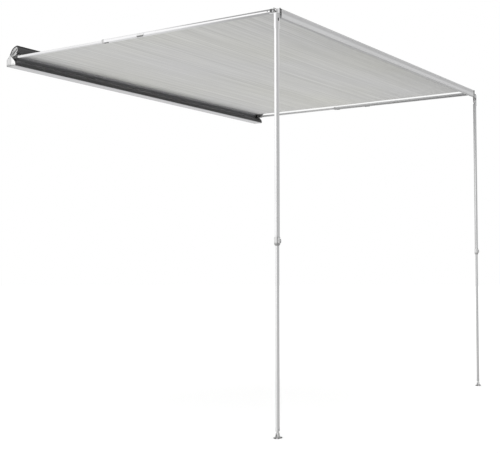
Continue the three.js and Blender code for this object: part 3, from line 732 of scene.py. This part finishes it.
def screws(name, places, look, body, r=0.0034, h=0.0019, socket=0.0013, n=24):
    """Low-head screws with a six-sided recess. places are (centre on the surface, outward normal)."""
    verts, faces = [], []
    for centre, normal in places:
        lathe(verts, faces, centre, normal, [
            (r * 0.98, -0.0009), (r, 0.0), (r, h * 0.35), (r * 0.94, h * 0.66), (r * 0.80, h * 0.90), (r * 0.62, h),
            (hexagon(socket * 1.08), h), (hexagon(socket), h * 0.88), (hexagon(socket * 0.97), h * 0.05),
            (socket * 0.3, -0.0001)], n)
    return piece(name, verts, faces, look, body)


def rivets(name, places, look, body, r=0.0033, h=0.0013, n=24):
    """Domed blind rivets with the small pit that the mandrel leaves."""
    verts, faces = [], []
    for centre, normal in places:
        lathe(verts, faces, centre, normal, [
            (r * 0.97, -0.0006), (r, 0.0), (r * 0.99, h * 0.22), (r * 0.90, h * 0.58), (r * 0.70, h * 0.86), (r * 0.45, h),
            (r * 0.34, h * 0.98), (r * 0.31, h * 0.55), (r * 0.12, h * 0.45)], n)
    return piece(name, verts, faces, look, body)


# ------------------------------------------------------------------ the cloth
CLOTH_HALF = 1294.0
C0, C1 = 61.0, 1880.5


def cloth_mid(x, out):
    """Height of the middle of the cloth, in profile millimetres: pulled tight, with a slight belly and faint drag lines."""
    u = (out - C0) / (C1 - C0)
    u = min(max(u, 0.0), 1.0)
    s = abs(x) / CLOTH_HALF
    z = 1.2 + 1.3 * u
    belly = 2.3 * math.sin(math.pi * u) ** 0.9 * (0.55 + 0.45 * s * s)
    # the free side edges hang a little lower between case and rail, in long shallow scallops
    scallop = 0.35 * s ** 6 * math.sin(math.pi * u) * math.cos(2 * math.pi * u * 3.0 + (0.7 if x > 0 else 0.0))
    # drag lines run in from the rail's ends and die out
    drag = 0.0
    for sx, ph in ((-1, 0.4), (1, 1.9)):
        dx, dy = (x - sx * CLOTH_HALF) / 1000.0, (out - C1) / 1000.0
        r = math.hypot(dx, dy)
        ang = math.atan2(-dy, -dx * sx)
        drag += 0.30 * math.exp(-(r / 0.55) ** 2) * math.sin(ang * 17 + ph) * min(1.0, r / 0.08)
    roll_mark = 0.16 * math.sin(2 * math.pi * (out / 143.0 + 0.05 * math.sin(x / 410.0))) * math.sin(math.pi * u) * (0.6 + 0.4 * math.sin(x / 530.0 + 1.0))
    return z - belly + scallop + drag * math.sin(math.pi * min(1.0, u * 1.02)) ** 0.25 * (1 - u ** 30) + roll_mark


def stations(lo, hi, fine, step, edge):
    """Positions from lo to hi, close together at both ends."""
    pts = [lo + d for d in fine]
    n = max(2, int(round((hi - lo - 2 * edge) / step)))
    pts += [lo + edge + (hi - lo - 2 * edge) * i / n for i in range(n + 1)]
    pts += [hi - d for d in reversed(fine)]
    return pts


xs = stations(-CLOTH_HALF, CLOTH_HALF, [0.0, 0.25, 0.8, 2.2, 9.0, 14.6, 16.4, 17.2, 18.0, 19.4, 20.4, 21.2], 20.0, 24.0)
outs = [C0 + (C1 - C0) * i / 168.0 for i in range(162)]
outs += [1814, 1824, 1834, 1842, 1848, 1851.6, 1853.2, 1854.4, 1855.6, 1860, 1864.6, 1865.8, 1866.8, 1867.8, 1869, 1874, 1878, 1880.5]
outs = sorted(o for o in outs if o <= C1)


def smooth(a, b, t):
    t = min(max((t - a) / (b - a), 0.0), 1.0)
    return t * t * (3 - 2 * t)


def pull(x, out):
    """The right side edge runs in a little toward the rail."""
    if x <= 0:
        return x
    u = (out - C0) / (C1 - C0)
    return x - 8.0 * (x / CLOTH_HALF) ** 8 * smooth(0.25, 0.7, u)


def half_thick(x, out):
    """Half the cloth's thickness, above and below: the hems are two layers, pinched along their seam."""
    d = CLOTH_HALF - abs(x)
    e = C1 - out
    base = 0.34
    hem = 1.0 - smooth(19.6, 21.0, d)
    seam = math.exp(-((d - 17.2) / 0.9) ** 2)
    front = 1.0 - smooth(24.8, 27.0, e)
    seam2 = math.exp(-((e - 13.2) / 1.3) ** 2)
    down = base + 0.50 * max(hem, front) - 0.32 * max(seam * hem, seam2 * front)
    up = base + 0.10 * max(hem, front) - 0.12 * max(seam * hem, seam2 * front)
    if d < 1.0:
        k = math.sqrt(max(0.0, 1.0 - (1.0 - d) ** 2))
        down, up = 0.06 + (down - 0.06) * k, 0.06 + (up - 0.06) * k
    return down, up


verts, faces = [], []
nx, ny = len(xs), len(outs)
mid = [[cloth_mid(x, o) for x in xs] for o in outs]
for sign in (-1, 1):
    for j, o in enumerate(outs):
        for i, x in enumerate(xs):
            down, up = half_thick(x, o)
            verts.append(at(pull(x, o), o, mid[j][i] + (up if sign > 0 else -down)))
for layer in (0, 1):
    off = layer * nx * ny
    for j in range(ny - 1):
        for i in range(nx - 1):
            a = off + j * nx + i
            q = (a, a + 1, a + 1 + nx, a + nx)
            faces.append(q if layer else tuple(reversed(q)))
top_off = nx * ny
rim = [(0, i) for i in range(nx)] + [(j, nx - 1) for j in range(1, ny)] + [(ny - 1, i) for i in range(nx - 2, -1, -1)] + [(j, 0) for j in range(ny - 2, 0, -1)]
for k, (j, i) in enumerate(rim):
    j2, i2 = rim[(k + 1) % len(rim)]
    a, b = j * nx + i, j2 * nx + i2
    faces.append((a, b, b + top_off, a + top_off))
cloth = piece("canopy_sheet", verts, faces, "cloth", "case")
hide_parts("canopy_cloth")

# rows of lock stitches: down both side hems and along the front hem, seen from below and from above
rng = random.Random(11)


def stitch(verts, faces, a, b, lift, up_sign, width=0.00052, n=5):
    """One short thread lying on the cloth from a to b."""
    d = (b - a)
    length = d.length
    d.normalize()
    across = d.cross(Vector((0, 0, 1))).normalized()
    up = Vector((0, 0, 1)) * up_sign
    prof = [(0.0, 0.35, -0.5), (0.12, 0.85, 0.25), (0.5, 1.0, 0.75), (0.88, 0.85, 0.25), (1.0, 0.35, -0.5)]
    first = len(verts)
    for t, w, h in prof:
        c = a + d * (length * t) + up * (lift + h * 0.00022)
        for i in range(n):
            ang = 2 * math.pi * i / n
            verts.append(c + across * (math.cos(ang) * width * w * 0.62) + up * (math.sin(ang) * width * w * 0.5))
    for k in range(len(prof) - 1):
        for i in range(n):
            p, q = first + k * n + i, first + k * n + (i + 1) % n
            faces.append((p, q, q + n, p + n))
    faces.append(tuple(first + i for i in reversed(range(n))))
    faces.append(tuple(first + (len(prof) - 1) * n + i for i in range(n)))


verts, faces = [], []
PITCH_MM = 5.0
for x in (-CLOTH_HALF + 17.2, CLOTH_HALF - 17.2):
    o = C0 + 6.0
    while o < C1 - 20:
        wob = rng.uniform(-0.18, 0.18)
        for up_sign in (-1, 1):
            def pt(oo):
                down, up = half_thick(x, oo)
                return at(pull(x + wob, oo), oo, cloth_mid(x, oo) + (up if up_sign > 0 else -down))
            stitch(verts, faces, pt(o + 0.7), pt(o + PITCH_MM - 0.7), 0.0001, up_sign)
        o += PITCH_MM
o = C1 - 13.2
x = -CLOTH_HALF + 22.0
while x < CLOTH_HALF - 24:
    wob = rng.uniform(-0.18, 0.18)
    for up_sign in (-1, 1):
        def pt(xx):
            down, up = half_thick(xx, o)
            return at(pull(xx, o), o + wob, cloth_mid(xx, o) + (up if up_sign > 0 else -down))
        stitch(verts, faces, pt(x + 0.7), pt(x + PITCH_MM - 0.7), 0.0001, up_sign)
    x += PITCH_MM
stitches = piece("hem_stitching", verts, faces, "thread", "case")
for o in (cloth, stitches):
    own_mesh(o)

# ------------------------------------------------------------------ small fixings
for s, end in ((-1, "left"), (1, "right")):
    nrm = (s, 0, 0)
    front = (0, -1, 0)
    screws(f"lower_cap_screws_{end}", [(at(s * 1350.5, 16, -50), nrm), (at(s * 1350.5, 57, -51), nrm), (at(s * 1350.5, 17, -15.5), nrm)], "steel", "case")
    screws(f"upper_cap_screws_{end}", [(at(s * 1350.0, 47.5, 24), nrm), (at(s * 1350.0, 84, 44.5), nrm)], "steel", "case", r=0.0029, h=0.0009, socket=0.0011)
    rivets(f"rafter_rivets_{end}", [(at(s * 1347.0, 1874, -12.2), nrm)], "steel_dark", f"rafter_slider_{end}", r=0.0028)
    screws(f"rafter_tip_bolt_{end}", [(at(s * 1347.0, 1896.5, -12.0), nrm)], "black", f"rafter_slider_{end}", r=0.0070, h=0.0022, socket=0.0030)
    rivets(f"rafter_knuckle_rivets_{end}", [(at(s * 1345.4, 70, -12.5), nrm)], "steel_dark", f"rafter_{end}", r=0.0028, h=0.001)
    rivets(f"leg_rivets_{end}", [(at(s * 1348.0, 1921, -100), nrm)], "steel_dark", f"leg_{end}", r=0.0026, h=0.0009)

# gasket round the housing's end, rafter boots, rail clips, leg head covers, collar knobs and foot fittings
CAP_EDGE = [(31, 5.8), (33.2, 8.6), (36.7, 15), (41.2, 22.9), (47.8, 31.6), (55.6, 38.4), (64.6, 43.8), (74.5, 47.6), (83.5, 49.7),
            (88.8, 50.1), (90.8, 48.9), (94.9, 41.4), (97.3, 35.6), (98.1, 29.6), (97.2, 22.4), (94.2, 16.6), (90, 12.9), (84.6, 11.6)]


def strip(name, line, widths, x_base, x_top, look, body):
    """A raised moulding that follows a line on an end face; widths are its offsets to the line's two sides."""
    pts = []
    for i, (a, b) in enumerate(line):
        p0, p1 = line[max(i - 1, 0)], line[min(i + 1, len(line) - 1)]
        d = Vector((p1[0] - p0[0], p1[1] - p0[1])).normalized()
        nrm = Vector((d.y, -d.x))
        pts.append((Vector((a, b)), nrm))
    verts, faces = [], []
    m = 6
    for c, nrm in pts:
        w0, w1 = widths
        for w, x in ((w0, x_base), (w0 + 0.12 * (w1 - w0) * 0.6, x_base + 0.8 * (x_top - x_base)), (w0 + 0.28 * (w1 - w0), x_top),
                     (w0 + 0.72 * (w1 - w0), x_top), (w1 - 0.12 * (w1 - w0) * 0.6, x_base + 0.8 * (x_top - x_base)), (w1, x_base)):
            q = c + nrm * w
            verts.append(at(x, q.x, q.y))
    for i in range(len(pts) - 1):
        for j in range(m):
            a, b = i * m + j, i * m + (j + 1) % m
            faces.append((a, b, b + m, a + m))
    faces.append(tuple(range(m)))
    faces.append(tuple(len(verts) - m + j for j in reversed(range(m))))
    return piece(name, verts, faces, look, body)


for s, end in ((-1, "left"), (1, "right")):
    X = lambda a, s=s: s * a
    strip(f"housing_gasket_{end}", CAP_EDGE, (-0.6, 3.6), X(1349.7), X(1351.6), "rubber", "case")
    # finger tab under the rafter lever, and the stop tab behind the collar
    block(f"rafter_lever_tab_{end}", [(box2(X(1345.6), -26.3 if s < 0 else -23.4, X(1350.6), -20.2), "out", 1028.0, 1070.0)], "tab", f"rafter_lever_{end}", 0.9)
    block(f"rafter_stop_tab_{end}", [(box2(X(1336.0), -25.6 if s < 0 else -23.8, X(1346.4), -21.7), "out", 786.0, 812.0)], "tab", f"rafter_slider_{end}", 0.7)
    # boot over the start of the thin tube; the right boot takes a paler tone than the left one, as painted light in the
    # mouth's shade
    block(f"rafter_boot_{end}", [(box2(X(1322.6), -20.6, X(1345.4), -4.4), "out", 62.6, 77.2)], "dark" if s < 0 else "tab", f"rafter_{end}", 1.2)
    # clip that holds the rail's end cap, and the screw in its front face
    block(f"rail_cap_clip_{end}", [(box2(X(1309.6), 0.6, X(1315.6), 4.9), "out", 1925.0, 1929.2)], "dark", "rail", 0.5)
    screws(f"rail_cap_plug_{end}", [(at(X(1307.4), 1927.4, -23.0), (0, -1, 0))], "mid", "rail", r=0.0036, h=0.0016, socket=0.0014)
    # leg head cover: outer side and front, in one thin moulding
    block(f"leg_head_cover_{end}", [
        (box2(X(1348.05), -104.0, X(1349.0), -27.0), "out", 1914.4, 1929.3),
        (box2(X(1320.3), -104.0, X(1348.9), -44.0), "out", 1928.3, 1929.3)], "leg", f"leg_{end}", 0.35)
    block(f"leg_head_button_{end}", [(oval(X(1330.8), -56.0, 4.2, 8.6), "out", 1929.0, 1930.6)], "black", f"leg_{end}", 0.3)
    # clamp knob on the collar's front, and the sleeve that closes the thin tube over the foot's stem
    c = s * 1334.0 + 13.6
    block(f"collar_knob_{end}", [(oval(c - 1.0, -1155.0, 5.2, 9.6, 28), "out", 1928.4, 1934.4)], "mid", f"leg_{end}", 1.4)
    block(f"collar_knob_face_{end}", [(oval(c - 1.4, -1154.0, 3.0, 6.0, 24), "out", 1934.0, 1935.2)], "light", f"leg_{end}", 0.6)
    funnel(f"collar_foot_{end}", s * 1334.0, 1921.0, [(16.6, 8.6, -1168.5), (16.7, 8.7, -1170.2), (16.3, 8.4, -1172.2), (15.2, 7.8, -1174.6), (13.6, 6.8, -1176.8), (13.0, 6.2, -1177.6)], "mid", f"leg_{end}")
    block(f"foot_sleeve_{end}", [(box2(X(1321.7), 1915.7, X(1346.3), 1926.3), "up", -2079.5, -2060.0)], "leg", f"leg_slider_{end}", 0.9)
    f = s * 1334.0
    block(f"foot_grips_{end}", [
        (box2(1914.5, -2111.4, 1927.5, -2106.8), "x", f - 22.6, f - 21.0),
        (box2(f - 20.0, -2111.4, f - 12.0, -2106.6), "out", 1934.6, 1936.1),
        (box2(f + 6.0, -2111.4, f + 17.0, -2107.0), "out", 1934.6, 1936.1)], "black", f"foot_{end}", 0.4)
    rivets(f"foot_sleeve_rivet_{end}", [(at(s * 1334.0, 1926.3, -2071.0), front)], "steel_dark", f"leg_slider_{end}", r=0.0022, h=0.0009)
    # dark trim on the leg bracket: a strip at its rear edge, a thin top strip, and the head of the tip's pivot
    block(f"bracket_trim_{end}", [
        (box2(X(1345.4), -23.9, X(1347.6), -1.0), "out", 1910.2, 1912.2),
        (box2(X(1319.5), -1.6, X(1347.6), 0.4), "out", 1910.2, 1914.2)], "mid", "rail", 0.3)
    block(f"bracket_pivot_{end}", [(oval(1922.8, -21.0, 3.7, 3.7, 24), "x", X(1344.7), X(1348.4))], "dark", "rail", 0.5)

# ------------------------------------------------------------------ floor
bm = bmesh.new()
bmesh.ops.create_circle(bm, cap_ends=True, segments=96, radius=60.0)
mesh = bpy.data.meshes.new("studio_floor")
bm.to_mesh(mesh)
bm.free()
k = Look("pale_floor", specular=0.0)
k.b.inputs["Emission Color"].default_value = (1.0, 1.0, 1.0, 1.0)
k.b.inputs["Emission Strength"].default_value = 0.10
tone = k.noise(0.8, 2, 0.5)
k.done(k.scaled((0.93, 0.93, 0.93), k.span(tone, 0.995, 1.005)), 0.95)
mesh.materials.append(k.m)
floor = bpy.data.objects.new("studio_floor", mesh)
floor.location = (0.0, -1.0, FLOOR_Z)
scene.collection.objects.link(floor)

# ------------------------------------------------------------------ final view layer update
bpy.context.view_layer.update()
